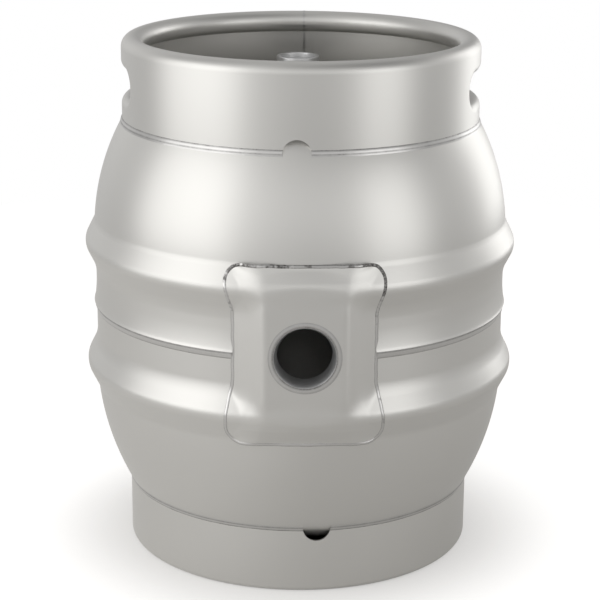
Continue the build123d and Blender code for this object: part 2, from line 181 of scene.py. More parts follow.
class CaskChimes(PropertyGroup):
    """Sizes of the two rolled chimes."""

    sheet: length("Chime sheet", "Thickness of both chimes", 2.0 * MM)
    top_radius: length("Top radius", "Outside of the top chime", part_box("top_chime")[1].x)
    rim: length("Rim", "Height of the curled rim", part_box("top_chime")[1].z)
    curl: length("Curl", "Radius of the curled rim", 10.0 * MM)
    curl_turn: angle("Curl turn", "How far the rim is curled round", 312.0)
    hold_height: length(
        "Hold height", "Height of the hand holds", mounts["hand_hold_right"]["pos_m"][2]
    )
    hold_length: length(
        "Hold length", "Length of a hand hold",
        mounts["hand_hold_right"]["dims"]["slot_length_mm"] * MM,
    )
    hold_round: length(
        "Hold round", "Radius of a hand hold's ends",
        mounts["hand_hold_right"]["dims"]["hole_r_mm"] * MM,
    )
    hold_bend: length("Hold bend", "Inner bend of a hand hold's lip", 5.0 * MM)
    hold_depth: length("Hold depth", "Depth of a hand hold's lip", 10.0 * MM)
    notch: length("Notch", "Radius of a drain notch", 12.4 * MM)
    top_notch_drop: length("Top notch drop", "Dome to the top notch's middle", 1.3 * MM)
    top_notch_turn: angle("Top notch turn", "Azimuth of the top notch", -2.5)
    foot_radius: length("Foot radius", "Outside of the foot chime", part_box("foot_chime")[1].x)
    foot_flange: length("Foot flange", "Width of the turned-in foot", 14.0 * MM)
    foot_bend: length("Foot bend", "Outer bend of the foot", 5.0 * MM)
    foot_notch_drop: length("Foot notch drop", "Dome to the foot notch's middle", 0.7 * MM)
    foot_notch_turn: angle("Foot notch turn", "Azimuth of the foot notch", 4.5)
    seam_width: length("Seam width", "Width of the butt welds", 2.2 * MM)
    seam_proud: length("Seam proud", "Height of the butt welds", 0.4 * MM)


class CaskWelds(PropertyGroup):
    """Sizes of the weld beads."""

    leg: length("Leg", "Height of a chime's fillet bead", 2.4 * MM)
    toe: length("Toe", "Reach of a chime's fillet bead down the dome", 1.8 * MM)
    bulge: length("Bulge", "Crown of a chime's fillet bead", 0.4 * MM)
    girth_bulge: length("Girth bulge", "Crown of the girth weld", 0.5 * MM)
    ripple: length("Ripple", "Height of a bead's ripples", 0.12 * MM)
    ripple_pitch: length("Ripple pitch", "Spacing of a bead's ripples", 2.2 * MM)
    wave_pitch: length("Wave pitch", "Spacing of a round bead's waves", 14.0 * MM)
    wander: length("Wander", "How far the insert's bead strays from its line", 0.4 * MM)
    wander_pitch: length("Wander pitch", "Spacing of that straying", 9.0 * MM)
    step: length("Step", "Spacing of the insert bead's mesh", 1.0 * MM)
    blotch_pitch: length("Blotch pitch", "Spacing of the small burnt spots", 2.4 * MM)
    streak_pitch: length("Streak pitch", "Spacing of the long burnt streaks", 11.0 * MM)
    # The dark lines along the beads are partly painted shade in the grooves at their toes and
    # partly heat tint
    scorch_pitch: length("Scorch pitch", "Spacing of the breaks in a burnt line", 7.0 * MM)
    ragged_start: length("Ragged start", "Middle to the ragged stretch on the left", 10.0 * MM)
    thick_length: length("Thick length", "Width of the thick burn at the right", 20.0 * MM)
    girth_leg: length("Girth leg", "Height of the girth weld", 6.5 * MM)
    seat: length("Seat", "Clearance between the two halves", 0.2 * MM)
    panel_width: length("Panel weld width", "Width of the bead round the insert", 2.8 * MM)
    panel_proud: length("Panel weld height", "Height of the bead round the insert", 0.5 * MM)
    panel_front: length(
        "Insert bead front", "Furthest that the bead comes", -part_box("shive_panel_weld")[0].y
    )
    shive_ring: length("Shive ring", "Radius of the bead round the shive bush", 31.7 * MM)
    shive_proud: length("Shive ring height", "Height of that bead", 0.3 * MM)
    crest_bend: length("Crest bend", "Bend on the crest of that bead", 3.0 * MM)
    keystone_bead: length("Keystone bead", "Radius of the bead at the keystone bush", 2.4 * MM)


class CaskFinish(PropertyGroup):
    """Colours and finishes. Only the welds show them so far, as the note above MAKERS says."""

    satin: colour("Satin stainless", "Bead-blasted sheet", "#CECECD")
    satin_rough: level("Satin roughness", "Roughness of the bead-blasted sheet", 0.30)
    blast_spread: level("Blast spread", "Added roughness of the blasted dimples", 0.30)
    blast_share: level("Blast share", "Share of the light the dimples scatter", 0.35)
    turned: colour("Turned stainless", "Turned and polished bushes", "#D8D8D8")
    turned_rough: level("Turned roughness", "Roughness of the bushes", 0.09)
    lathe_spread: level("Lathe spread", "Added roughness across the tool's lines", 0.55)
    lathe_share: level("Lathe share", "Share of the light those lines scatter", 0.85)
    bead: colour("Weld bead", "Brushed weld metal", "#C8C7C5")
    bead_rough: level("Bead roughness", "Roughness of the weld metal", 0.28)
    # Dark colour of the welds: real heat tint in places, and painted shade in the grooves along
    # each bead's toes
    scale: colour("Heat scale", "Dark oxide left beside a hot weld", "#35312E")
    grit: length("Grit", "Spacing of the blasting grain, drawn coarse enough to show", 1.1 * MM)
    grit_depth: length("Grit depth", "Depth of the blasting grain", 0.06 * MM)
    cloud: length("Cloud", "Spacing of the faint clouding of the sheet", 48.0 * MM)
    streak: length("Streak", "Spacing of the streaks on the bushes", 6.0 * MM)
    brush: length("Brush", "Spacing of the brushed marks on a bead", 1.6 * MM)
    brush_depth: length("Brush depth", "Depth of the brushed marks", 0.15 * MM)


class CaskStage(PropertyGroup):
    """The studio round the cask."""

    paper: colour("Paper", "Colour of the floor's paper", "#BBB9B6")
    light: level("Light", "Strength of the studio light", 1.0)
    floor_lift: level("Floor lift", "Light added to the floor for the camera", 0.72)
    floor_glow: level("Floor glow", "Light that the metal mirrors from the floor", 0.16)
    floor_side_glow: level("Floor side glow", "The same from the floor's left", 0.31)
    floor_reach: length("Floor reach", "Radius of the floor", 1.4)
    camera_across: length("Camera across", "Camera place left of the axis", -45.4 * MM)
    camera_back: length("Camera back", "Camera distance in front of the axis", 1755.5 * MM)
    camera_height: length("Camera height", "Height of the camera", 739.4 * MM)
    camera_pitch: angle("Camera pitch", "How far the camera looks down", 16.294)
    camera_yaw: angle("Camera yaw", "How far the camera turns to its right", 1.5)
    camera_roll: angle("Camera roll", "How far the camera leans", 0.405)
    camera_lens: FloatProperty(
        name="Lens", description="Focal length of the lens", default=116.12, unit="CAMERA"
    )
    camera_sensor: FloatProperty(
        name="Sensor", description="Width of the sensor", default=36.0, unit="CAMERA"
    )


def settings(context, *names):
    """The scene's settings groups of the given names."""
    return [getattr(context.scene, "cask_" + name) for name in names]


GROUPS = {
    "cask_barrel": CaskBarrel,
    "cask_panel": CaskPanel,
    "cask_bushes": CaskBushes,
    "cask_chimes": CaskChimes,
    "cask_welds": CaskWelds,
    "cask_finish": CaskFinish,
    "cask_stage": CaskStage,
}


# Lines, lathed forms and cuts

def start_line(bm, places, closed=False):
    """Joins places by straight edges and returns the corners."""
    corners = [bm.verts.new(place) for place in places]
    for one, two in zip(corners, corners[1:]):
        bm.edges.new((one, two))
    if closed:
        bm.edges.new((corners[-1], corners[0]))
    return corners


def bend_corner(bm, corner, radius, segments=8):
    """Rounds a corner of a line to a bend radius."""
    sides = [edge.other_vert(corner).co - corner.co for edge in corner.link_edges]
    turn = math.pi - sides[0].angle(sides[1])
    bmesh.ops.bevel(
        bm, geom=[corner], offset=radius * math.tan(turn / 2), offset_type="OFFSET",
        segments=segments, profile=0.5, affect="VERTICES", material=-1,
    )


def swing(bm, tip, centre, turn, steps, towards=1):
    """Draws an arc on from a line's tip, round a centre, up or down, and returns the new tip."""
    arc = bmesh.ops.spin(
        bm, geom=[tip], cent=centre, axis=(0, -towards, 0), angle=turn, steps=steps,
        use_duplicate=False,
    )
    return verts_of(arc["geom_last"])[0]


def lathe(bm, centre=(0, 0, 0), axis=(0, 0, 1), steps=288):
    """Turns a line all the way round an axis."""
    bmesh.ops.spin(
        bm, geom=bm.verts[:] + bm.edges[:], cent=centre, axis=axis, angle=math.tau,
        steps=steps, use_merge=True,
    )
    close_up(bm)


def close_up(bm):
    """Joins the seam and the poles and turns the faces outwards."""
    bmesh.ops.remove_doubles(bm, verts=bm.verts, dist=0.002 * MM)
    bmesh.ops.recalc_face_normals(bm, faces=bm.faces)


def walk(bm):
    """Places along a closed line, in order."""
    first = next(iter(bm.verts))
    places = [first.co.copy()]
    edge = first.link_edges[0]
    here = edge.other_vert(first)
    while here is not first:
        places.append(here.co.copy())
        edge = next(other for other in here.link_edges if other is not edge)
        here = edge.other_vert(here)
    return places


def even_steps(places, spacing):
    """Evenly spaced places along a closed line."""
    loop = places + places[:1]
    runs = [(two - one).length for one, two in zip(loop, loop[1:])]
    count = round(sum(runs) / spacing)
    step = sum(runs) / count
    steps, travelled, run = [], 0.0, 0
    for number in range(count):
        goal = number * step
        while travelled + runs[run] < goal:
            travelled += runs[run]
            run += 1
        steps.append(loop[run].lerp(loop[run + 1], (goal - travelled) / runs[run]))
    return steps


def smooth(mesh, sharp=32.0):
    """Smooths a mesh, with edges sharper than an angle in degrees left crisp."""
    mesh.shade_smooth()
    mesh.set_sharp_from_angle(angle=math.radians(sharp))


def piece_from(name, bm, sharp=32.0):
    """Makes a smooth object of a bmesh."""
    mesh = bpy.data.meshes.new(name)
    bm.to_mesh(mesh)
    bm.free()
    smooth(mesh, sharp)
    piece = bpy.data.objects.new(name, mesh)
    bpy.context.scene.collection.objects.link(piece)
    return piece


def cut(piece, cutter, operation="DIFFERENCE", sharp=32.0):
    """Cuts a piece by a closed cutter, which is then taken away."""
    tool = piece.modifiers.new("Cut", "BOOLEAN")
    tool.operation = operation
    tool.solver = "EXACT"
    tool.object = cutter
    plain = piece.data
    graph = bpy.context.evaluated_depsgraph_get()
    shape = bpy.data.meshes.new_from_object(piece.evaluated_get(graph))
    piece.modifiers.clear()
    piece.data = shape
    bpy.data.meshes.remove(plain)
    bpy.data.objects.remove(cutter)
    if len(shape.polygons) == 0:
        raise RuntimeError(f"{piece.name} was cut away to nothing")
    smooth(shape, sharp)


def verts_of(made):
    """The points among what a bmesh operator made."""
    return [part for part in made if isinstance(part, bmesh.types.BMVert)]


def draw_out(bm, way):
    """Fills a closed flat line and draws it out into a closed bar."""
    bmesh.ops.contextual_create(bm, geom=bm.edges[:])
    swept = bmesh.ops.extrude_face_region(bm, geom=bm.faces[:])
    bmesh.ops.translate(bm, verts=verts_of(swept["geom"]), vec=way)


def turn_round(bm, turn):
    """Turns what is drawn about the cask's axis."""
    bmesh.ops.rotate(bm, verts=bm.verts, matrix=Matrix.Rotation(turn, 3, "Z"))


def rod(centre, axis, radius, length):
    """A closed round bar from a centre along an axis, for cutting holes."""
    bm = bmesh.new()
    turned = Vector((0, 0, 1)).rotation_difference(Vector(axis)).to_matrix().to_4x4()
    bmesh.ops.create_cone(
        bm, cap_ends=True, segments=64, radius1=radius, radius2=radius, depth=length,
        matrix=Matrix.Translation(centre) @ turned @ Matrix.Translation((0, 0, length / 2)),
    )
    bmesh.ops.recalc_face_normals(bm, faces=bm.faces)
    return piece_from("cutter", bm)


def outwards(turn):
    """Direction out from the axis at an azimuth from the shive."""
    return Vector((math.sin(turn), -math.cos(turn), 0))


def finish_piece(piece, node, slot):
    """Gives a piece its slot's material and sets it in the frame in place of its CAD node."""
    maker = MAKERS[slot]
    material = bpy.data.materials.get(maker.__name__) or maker(bpy.context.scene.cask_finish)
    piece.data.materials.clear()
    piece.data.materials.append(material)
    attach(piece, "root")
    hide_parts(node)


# Outlines of the vessel

def dome_sizes(barrel, half):
    """Radius and rise of a half's dome and height of its crown, away from the equator."""
    if half > 0:
        crown = barrel.upper_crown - barrel.equator
        return barrel.upper_dome_radius, barrel.upper_dome_rise, crown
    crown = barrel.equator - barrel.lower_crown
    return barrel.lower_dome_radius, barrel.lower_dome_rise, crown


def draw_half(bm, barrel, half, belled, segments=10):
    """Draws the outer skin of one half as a line from its rim to its crown."""
    dome_radius, rise, crown = dome_sizes(barrel, half)
    slope = math.tan(barrel.ring_flank)
    peak = Vector((
        barrel.ring_radius + barrel.ring_crest_bend * (1 / math.cos(barrel.ring_flank) - 1),
        barrel.ring_rise,
    ))
    foot = (peak.x - barrel.valley_radius) / slope
    dome = Vector((barrel.shoulder_radius - dome_radius, rise))
    head = Vector((0, crown - barrel.crown_radius))
    landing = geometry.intersect_line_sphere_2d(
        peak, peak + Vector((-2 * foot * slope, 2 * foot)), dome, dome_radius, False
    )
    landing = min(landing, key=lambda point: (point - peak).length)
    knuckle = max(
        geometry.intersect_sphere_sphere_2d(
            dome, dome_radius - barrel.knuckle_bend,
            head, barrel.crown_radius - barrel.knuckle_bend,
        ),
        key=lambda point: point.x,
    )

    def place(point):
        return Vector((point[0], 0, barrel.equator + half * point[1]))

    def slant(point, centre):
        return math.atan2(point.y - centre.y, point.x - centre.x)

    if belled:
        rim = [
            (barrel.bell_radius + barrel.bell_lip_reach, 0),
            (barrel.bell_radius, barrel.bell_lip),
            (barrel.valley_radius, barrel.bell_flare),
        ]
    else:
        rim = [(barrel.valley_radius, -barrel.lap_length)]
    flank = [(barrel.valley_radius, barrel.ring_rise - foot), peak, landing]
    corners = start_line(bm, [place(point) for point in rim + flank])
    dome_turn = slant(knuckle, dome) - slant(landing, dome)
    tip = swing(bm, corners[-1], place(dome), dome_turn, 18, half)
    knuckle_turn = slant(knuckle, head) - slant(knuckle, dome)
    tip = swing(bm, tip, place(knuckle), knuckle_turn, 6, half)
    crown_turn = math.pi / 2 - slant(knuckle, head)
    tip = swing(bm, tip, place(head), crown_turn, 14, half)
    tip.co.x = 0
    bends = [barrel.ring_foot_bend, barrel.ring_crest_bend, barrel.ring_root_bend]
    for corner, bend in zip(corners[-3:], bends):
        bend_corner(bm, corner, bend, segments)
    if belled:
        bend_corner(bm, corners[2], barrel.bell_bend, 12)


class Skin:
    """The barrel's outer skin without its bell, asked for its radius or its height."""

    def __init__(self, barrel):
        self.barrel = barrel
        self.line = []
        for half in (-1, 1):
            bm = bmesh.new()
            draw_half(bm, barrel, half, False, 24)
            self.line += [
                (v.co.z, v.co.x) for v in bm.verts if half * (v.co.z - barrel.equator) > 0
            ]
            bm.free()
        self.line.sort()

    def radius(self, height):
        """Radius of the skin at a height."""
        for one, two in zip(self.line, self.line[1:]):
            if one[0] <= height <= two[0]:
                share = (height - one[0]) / (two[0] - one[0])
                return one[1] + share * (two[1] - one[1])
        raise RuntimeError("the skin has no such height")

    def height(self, half, radius):
        """Height of a half's dome or crown at a radius."""
        line = self.line if half < 0 else self.line[::-1]
        for one, two in zip(line, line[1:]):
            if one[1] <= radius <= two[1]:
                share = (radius - one[1]) / (two[1] - one[1])
                return one[0] + share * (two[0] - one[0])
        raise RuntimeError("the skin has no such radius")


def smooth_least(one, two, reach):
    """The lesser of two distances, blended where they are closer than reach."""
    near = max(reach - abs(one - two), 0.0) / reach
    return min(one, two) - near * near * reach / 4


class Front:
    """The vessel's front with its raised insert, asked how far forward it is at a place."""

    def __init__(self, barrel, panel):
        self.skin = Skin(barrel)
        self.barrel = barrel
        self.panel = panel
        self.rows = {}

    def row(self, height):
        """Distances forward of the skin and of the insert's ends at a height."""
        key = round(height, 6)
        if key not in self.rows:
            panel = self.panel
            above = height - self.barrel.equator - panel.flat_top
            below = self.barrel.equator - panel.flat_bottom - height
            fall = math.tan(panel.end_facet)
            self.rows[key] = (self.skin.radius(height), panel.face - fall * max(above, below))
        return self.rows[key]

    def forward(self, across, height):
        """Distance forward of the axis at a place across and up the front."""
        panel = self.panel
        radius, end = self.row(height)
        side = panel.face - (abs(across) - panel.flat_width / 2) * math.tan(panel.facet)
        block = smooth_least(panel.face, side, panel.crease)
        block = smooth_least(block, end, panel.end_crease)
        barrel = math.sqrt(radius ** 2 - across ** 2)
        inside = min(
            self.half_width(height) - abs(across), panel.top - height, height - panel.bottom
        )
        soft = panel.root * min(1, max(0.2, inside / panel.root_run))
        raised = -smooth_least(-block, -barrel, soft)
        return smooth_least(raised, self.barrel.ring_radius, panel.front_blend)

    def half_width(self, height):
        """About half the insert's width at a height."""
        panel = self.panel
        up = height - self.barrel.equator
        above = (up - panel.waist_top) / (panel.shoulder_top - panel.waist_top)
        below = (-up - panel.waist_bottom) / (panel.shoulder_bottom - panel.waist_bottom)
        share = min(1, max(0, above, below))
        return panel.waist + share * (panel.shoulder - panel.waist)


def draw_insert(bm, barrel, panel, grow=0.0):
    """Draws the insert's outline in the XZ plane, grown by grow."""
    right = [
        (panel.shoulder + grow, panel.bottom - grow, panel.corner_bend + grow),
        (panel.shoulder + grow, barrel.equator - panel.shoulder_bottom, panel.side_bend + grow),
        (panel.waist + grow, barrel.equator - panel.waist_bottom, panel.side_bend - grow),
        (panel.waist + grow, barrel.equator + panel.waist_top, panel.side_bend - grow),
        (panel.shoulder + grow, barrel.equator + panel.shoulder_top, panel.side_bend + grow),
        (panel.shoulder + grow, panel.top + grow, panel.corner_bend + grow),
    ]
    left = [(-across, height, bend) for across, height, bend in reversed(right)]
    places = [(across, 0, height) for across, height, bend in right + left]
    corners = start_line(bm, places, closed=True)
    for corner, (across, height, bend) in zip(corners, right + left):
        bend_corner(bm, corner, bend, 8)


def insert_prism(barrel, panel, grow=0.0):
    """A closed prism through the front wall on the insert's outline."""
    bm = bmesh.new()
    draw_insert(bm, barrel, panel, grow)
    draw_out(bm, (0, -barrel.ring_radius - OVERRUN, 0))
    bmesh.ops.recalc_face_normals(bm, faces=bm.faces)
    return piece_from("cutter", bm)


# Materials

def add_node(tree, kind, settings=None, inputs=None, links=None):
    """Adds a node, with its settings, the values of its inputs and the links into it."""
    node = tree.nodes.new(kind)
    for name, value in (settings or {}).items():
        setattr(node, name, value)
    for name, value in (inputs or {}).items():
        node.inputs[name].default_value = value
    for name, socket in (links or {}).items():
        tree.links.new(socket, node.inputs[name])
    return node


def new_material(name):
    """An empty node material and its output node."""
    material = bpy.data.materials.new(name)
    material.use_nodes = True
    material.node_tree.nodes.clear()
    output = material.node_tree.nodes.new("ShaderNodeOutputMaterial")
    return material, material.node_tree, output


def tinted(colour, factor=1.0):
    """A shader colour from a setting, made lighter or darker by a factor."""
    return (*[min(channel * factor, 1.0) for channel in colour], 1.0)


def two_lobed_steel(tree, output, links, rough, added, share):
    """Steel that mirrors part of the light sharply and scatters a share of it wider."""
    wider = add_node(
        tree, "ShaderNodeMath", {"operation": "ADD"}, {1: added}, {0: rough}
    ).outputs["Value"]
    sharp, wide = [
        add_node(
            tree, "ShaderNodeBsdfPrincipled", None, {"Metallic": 1.0},
            {**links, "Roughness": lobe},
        ).outputs["BSDF"]
        for lobe in (rough, wider)
    ]
    steel = add_node(tree, "ShaderNodeMixShader", None, {0: share}, {1: sharp, 2: wide})
    tree.links.new(steel.outputs["Shader"], output.inputs["Surface"])


def satin_stainless(finish):
    """Austenitic stainless sheet, pressed and then bead blasted. The eye sees a soft, even
    satin with a very fine grain, broad soft highlights and faint clouding from the presses."""
    material, tree, output = new_material("satin_stainless")
    place = add_node(tree, "ShaderNodeTexCoord").outputs["Object"]
    cloud, grain = [
        add_node(
            tree, "ShaderNodeTexNoise", None,
            {"Scale": 1 / spacing, "Detail": detail, "Roughness": roughness},
            {"Vector": place},
        ).outputs["Fac"]
        for spacing, detail, roughness in ((finish.cloud, 3.0, 0.55), (finish.grit, 2.0, 0.6))
    ]
    mixed = add_node(
        tree, "ShaderNodeMix", {"data_type": "FLOAT"}, {0: 0.45}, {2: cloud, 3: grain}
    ).outputs[0]
    shade = add_node(
        tree, "ShaderNodeMix", {"data_type": "RGBA"},
        {6: tinted(finish.satin, 0.93), 7: tinted(finish.satin, 1.06)}, {0: mixed},
    ).outputs[2]
    rough = add_node(
        tree, "ShaderNodeMapRange", None,
        {"From Min": 0.3, "From Max": 0.7, "To Min": finish.satin_rough - 0.03,
         "To Max": finish.satin_rough + 0.04},
        {"Value": cloud},
    ).outputs["Result"]
    bump = add_node(
        tree, "ShaderNodeBump", None, {"Strength": 0.35, "Distance": finish.grit_depth},
        {"Height": grain},
    ).outputs["Normal"]
    links = {"Base Color": shade, "Normal": bump}
    two_lobed_steel(tree, output, links, rough, finish.blast_spread, finish.blast_share)
    return material


def turned_stainless(finish):
    """Stainless bar turned on a lathe and polished. The eye sees a bright, smooth face whose
    light is drawn out wide by the very fine lines that the tool left."""
    material, tree, output = new_material("turned_stainless")
    place = add_node(tree, "ShaderNodeTexCoord").outputs["Object"]
    streak = add_node(
        tree, "ShaderNodeTexNoise", None,
        {"Scale": 1 / finish.streak, "Detail": 4.0, "Roughness": 0.6}, {"Vector": place},
    ).outputs["Fac"]
    rough = add_node(
        tree, "ShaderNodeMapRange", None,
        {"From Min": 0.3, "From Max": 0.7, "To Min": finish.turned_rough - 0.05,
         "To Max": finish.turned_rough + 0.08},
        {"Value": streak},
    ).outputs["Result"]
    shade = add_node(
        tree, "ShaderNodeMix", {"data_type": "RGBA"},
        {6: tinted(finish.turned, 0.9), 7: tinted(finish.turned, 1.05)}, {0: streak},
    ).outputs[2]
    links = {"Base Color": shade}
    two_lobed_steel(tree, output, links, rough, finish.lathe_spread, finish.lathe_share)
    return material


def brushed_tig_weld_stainless(finish):
    """TIG-welded stainless, wire brushed. The eye sees a shiny rippled bead, browned or blackened
    where the mesh's darkness attribute says so: by heat tint in places, and by painted shade along
    its toes."""
    material, tree, output = new_material("brushed_tig_weld_stainless")
    place = add_node(tree, "ShaderNodeTexCoord").outputs["Object"]
    burn = add_node(
        tree, "ShaderNodeAttribute", {"attribute_name": "burn"}
    ).outputs["Fac"]
    ripple = add_node(
        tree, "ShaderNodeTexNoise", None,
        {"Scale": 1 / finish.brush, "Detail": 3.0, "Roughness": 0.65}, {"Vector": place},
    ).outputs["Fac"]
    patch = add_node(
        tree, "ShaderNodeMapRange", None,
        {"From Min": 0.35, "From Max": 0.65, "To Min": 0.55, "To Max": 1.0},
        {"Value": ripple},
    ).outputs["Result"]
    # Painted shade: this share mixes in the dark colour, partly real heat tint and partly shade
    # painted along the bead's toes
    oxide_and_shade_share = add_node(
        tree, "ShaderNodeMath", {"operation": "MULTIPLY", "use_clamp": True}, None,
        {0: burn, 1: patch},
    ).outputs["Value"]
    metal = add_node(
        tree, "ShaderNodeMix", {"data_type": "RGBA"},
        {6: tinted(finish.bead, 0.88), 7: tinted(finish.bead, 1.1)}, {0: ripple},
    ).outputs[2]
    shade = add_node(
        tree, "ShaderNodeMix", {"data_type": "RGBA"}, {7: tinted(finish.scale)},
        {0: oxide_and_shade_share, 6: metal},
    ).outputs[2]
    rough = add_node(
        tree, "ShaderNodeMapRange", None,
        {"From Min": 0.0, "From Max": 1.0, "To Min": finish.bead_rough,
         "To Max": finish.bead_rough + 0.35},
        {"Value": oxide_and_shade_share},
    ).outputs["Result"]
    bump = add_node(
        tree, "ShaderNodeBump", None, {"Strength": 0.5, "Distance": finish.brush_depth},
        {"Height": ripple},
    ).outputs["Normal"]
    steel = add_node(
        tree, "ShaderNodeBsdfPrincipled", None, {"Metallic": 1.0},
        {"Base Color": shade, "Roughness": rough, "Normal": bump},
    )
    tree.links.new(steel.outputs["BSDF"], output.inputs["Surface"])
    return material


# The frame already holds plain materials called satin_stainless and turned_stainless, and
# finish_piece takes those. So the two makers of the same names don't run, and the sheet and the
# bushes are seen in the frame's plain steel. Only the welds wear a material that is made here.
MAKERS = {
    "satin_stainless": satin_stainless,
    "turned_stainless": turned_stainless,
    "stainless_weld": brushed_tig_weld_stainless,
}


# Operators, one for each piece or group of like pieces

class CASK_OT_shells(Operator):
    """Models the two drawn halves of the vessel as sheet"""

    bl_idname = "cask.shells"
    bl_label = "Vessel halves"

    def execute(self, context):
        barrel, panel, bushes = settings(context, "barrel", "panel", "bushes")
        for node, half in (("upper_shell", 1), ("lower_shell", -1)):
            bm = bmesh.new()
            draw_half(bm, barrel, half, half > 0)
            lathe(bm)
            bmesh.ops.solidify(bm, geom=bm.faces[:], thickness=barrel.sheet)
            shell = piece_from("shell_upper" if half > 0 else "shell_lower", bm)
            cut(shell, insert_prism(barrel, panel))
            if half > 0:
                foot = Vector((0, bushes.keystone_reach, bushes.keystone_foot - barrel.sheet))
                reach = bushes.keystone_top - bushes.keystone_foot + OVERRUN
                cut(shell, rod(foot, (0, 0, 1), bushes.keystone_radius, reach))
            finish_piece(shell, node, "satin_stainless")
        return {"FINISHED"}


class CASK_OT_insert(Operator):
    """Models the raised insert that holds the shive bush"""

    bl_idname = "cask.insert"
    bl_label = "Shive insert"

    def execute(self, context):
        barrel, panel, bushes = settings(context, "barrel", "panel", "bushes")
        front = Front(barrel, panel)
        width = 2 * (panel.shoulder + panel.margin)
        height = panel.top - panel.bottom + 2 * panel.margin
        middle = (panel.top + panel.bottom) / 2
        bm = bmesh.new()
        bmesh.ops.create_grid(
            bm, x_segments=round(width / panel.grid), y_segments=round(height / panel.grid),
            size=0.5,
        )
        for v in bm.verts:
            across, up = v.co.x * width, middle + v.co.y * height
            v.co = (across, -front.forward(across, up), up)
        bmesh.ops.recalc_face_normals(bm, faces=bm.faces)
        if bm.faces[:][0].normal.y > 0:
            bmesh.ops.reverse_faces(bm, faces=bm.faces)
        bmesh.ops.solidify(bm, geom=bm.faces[:], thickness=barrel.sheet)
        insert = piece_from("shive_insert", bm, 60.0)
        cut(insert, insert_prism(barrel, panel), "INTERSECT", 60.0)
        start = Vector((0, 0, barrel.equator))
        reach = barrel.ring_radius + OVERRUN
        cut(insert, rod(start, (0, -1, 0), bushes.shive_radius, reach), sharp=60.0)
        finish_piece(insert, "shive_panel", "satin_stainless")
        return {"FINISHED"}


class CASK_OT_insert_weld(Operator):
    """Models the bead all round the insert, dark with oxide where the real one is and with painted
    shade along its toes
    """

    bl_idname = "cask.insert_weld"
    bl_label = "Insert weld"

    def execute(self, context):
        barrel, panel, welds = settings(context, "barrel", "panel", "welds")
        front = Front(barrel, panel)
        bm = bmesh.new()
        draw_insert(bm, barrel, panel)
        loop = even_steps(walk(bm), welds.step)
        bm.free()
        count = len(loop)
        rows = 8
        bm = bmesh.new()
        burn = bm.verts.layers.float.new("burn")
        bmesh.ops.create_grid(bm, x_segments=count, y_segments=rows, size=0.5)
        middle = Vector((0, 0, barrel.equator))
        for v in bm.verts:
            step = round((v.co.x + 0.5) * count) % count
            side = v.co.y * 2
            here = loop[step]
            along = (loop[(step + 1) % count] - loop[step - 1]).normalized()
            out = Vector((along.z, 0, -along.x))
            if out.dot(here - middle) < 0:
                out.negate()
            wander = noise.noise(here / welds.wander_pitch) * welds.wander
            ripple = noise.noise(here / welds.ripple_pitch) * welds.ripple
            spot = here + out * (side * welds.panel_width / 2 + wander)
            swell = (1 - side * side) * (welds.panel_proud + ripple)
            reach = min(front.forward(spot.x, spot.z) + swell, welds.panel_front)
            v.co = (spot.x, -reach, spot.z)
            # The darkness stored here is partly oxide and partly shade painted along the bead's
            # toes
            v[burn] = self.burnt(barrel, panel, welds, spot, side)
        close_up(bm)
        outside = next(f for f in bm.faces if abs(f.calc_center_median().x) < panel.waist)
        if outside.normal.y > 0:
            bmesh.ops.reverse_faces(bm, faces=bm.faces)
        bmesh.ops.solidify(bm, geom=bm.faces[:], thickness=barrel.sheet / 2)
        bead = piece_from("insert_weld", bm, 50.0)
        finish_piece(bead, "shive_panel_weld", "stainless_weld")
        return {"FINISHED"}

    def burnt(self, barrel, panel, welds, here, side):
        """How dark the bead is at a place: ragged oxide along the top, darkest at its right end,
        with painted shade along both toes.
        """
        blotch = 0.5 + 0.5 * noise.noise(here / welds.blotch_pitch)
        streak = 0.5 + 0.5 * noise.noise(here / welds.streak_pitch)
        low_corner = panel.bottom + panel.corner_bend
        # Painted shade: darker towards both toes of the bead, where it meets the sheet
        edge = max(0, abs(side) - 0.5) * 2
        if here.x > 0 and here.z > panel.top - 1.8 * panel.corner_bend:
            if here.x > panel.shoulder - welds.thick_length:
                return min(1, 0.7 + 0.5 * blotch)
        if here.z > panel.top - panel.corner_bend:
            if here.x < -welds.ragged_start:
                return min(1, max(0, blotch * 1.3 + streak - 0.75) * 1.9)
            return min(1, 0.25 + edge * 0.6 + (0.6 if streak > 0.66 else 0))
        if here.x > 0 and here.z > low_corner:
            return min(1, edge * 0.6 + max(0, blotch + streak - 1.1) * 1.5)
        if here.z < low_corner:
            return edge * 0.6
        if here.z > barrel.equator + panel.waist_top:
            return max(0, blotch * 1.6 - 0.75) * (1 - 0.4 * edge)
        return edge * (0.25 + 0.5 * streak)


class CASK_OT_girth_weld(Operator):
    """Models the fillet bead under the bell's edge"""

    bl_idname = "cask.girth_weld"
    bl_label = "Girth weld"

    def execute(self, context):
        barrel, welds, panel = settings(context, "barrel", "welds", "panel")
        inner = barrel.valley_radius + welds.seat
        low = barrel.equator - welds.girth_leg
        bm = bmesh.new()
        face = crowned(
            (inner, 0, low), (barrel.bell_radius, 0, barrel.equator), welds.girth_bulge
        )
        start_line(bm, face + [(inner, 0, barrel.equator)], closed=True)
        lathe(bm, steps=720)
        roughen(bm, welds, amount=0.6)
        bead = piece_from("girth_weld", bm, 50.0)
        cut(bead, insert_prism(barrel, panel, welds.panel_width / 4), sharp=50.0)
        # Painted shade: dark lines at the bead's lower toe and just under the bell's lip, partly
        # shade in those grooves and partly heat tint
        scorch(
            bead, welds, lambda place: (place.z - low) / welds.girth_leg,
            ((0.0, 0.2, 0.7), (0.83, 0.18, 0.8)),
        )
        finish_piece(bead, "girth_weld", "stainless_weld")
        return {"FINISHED"}


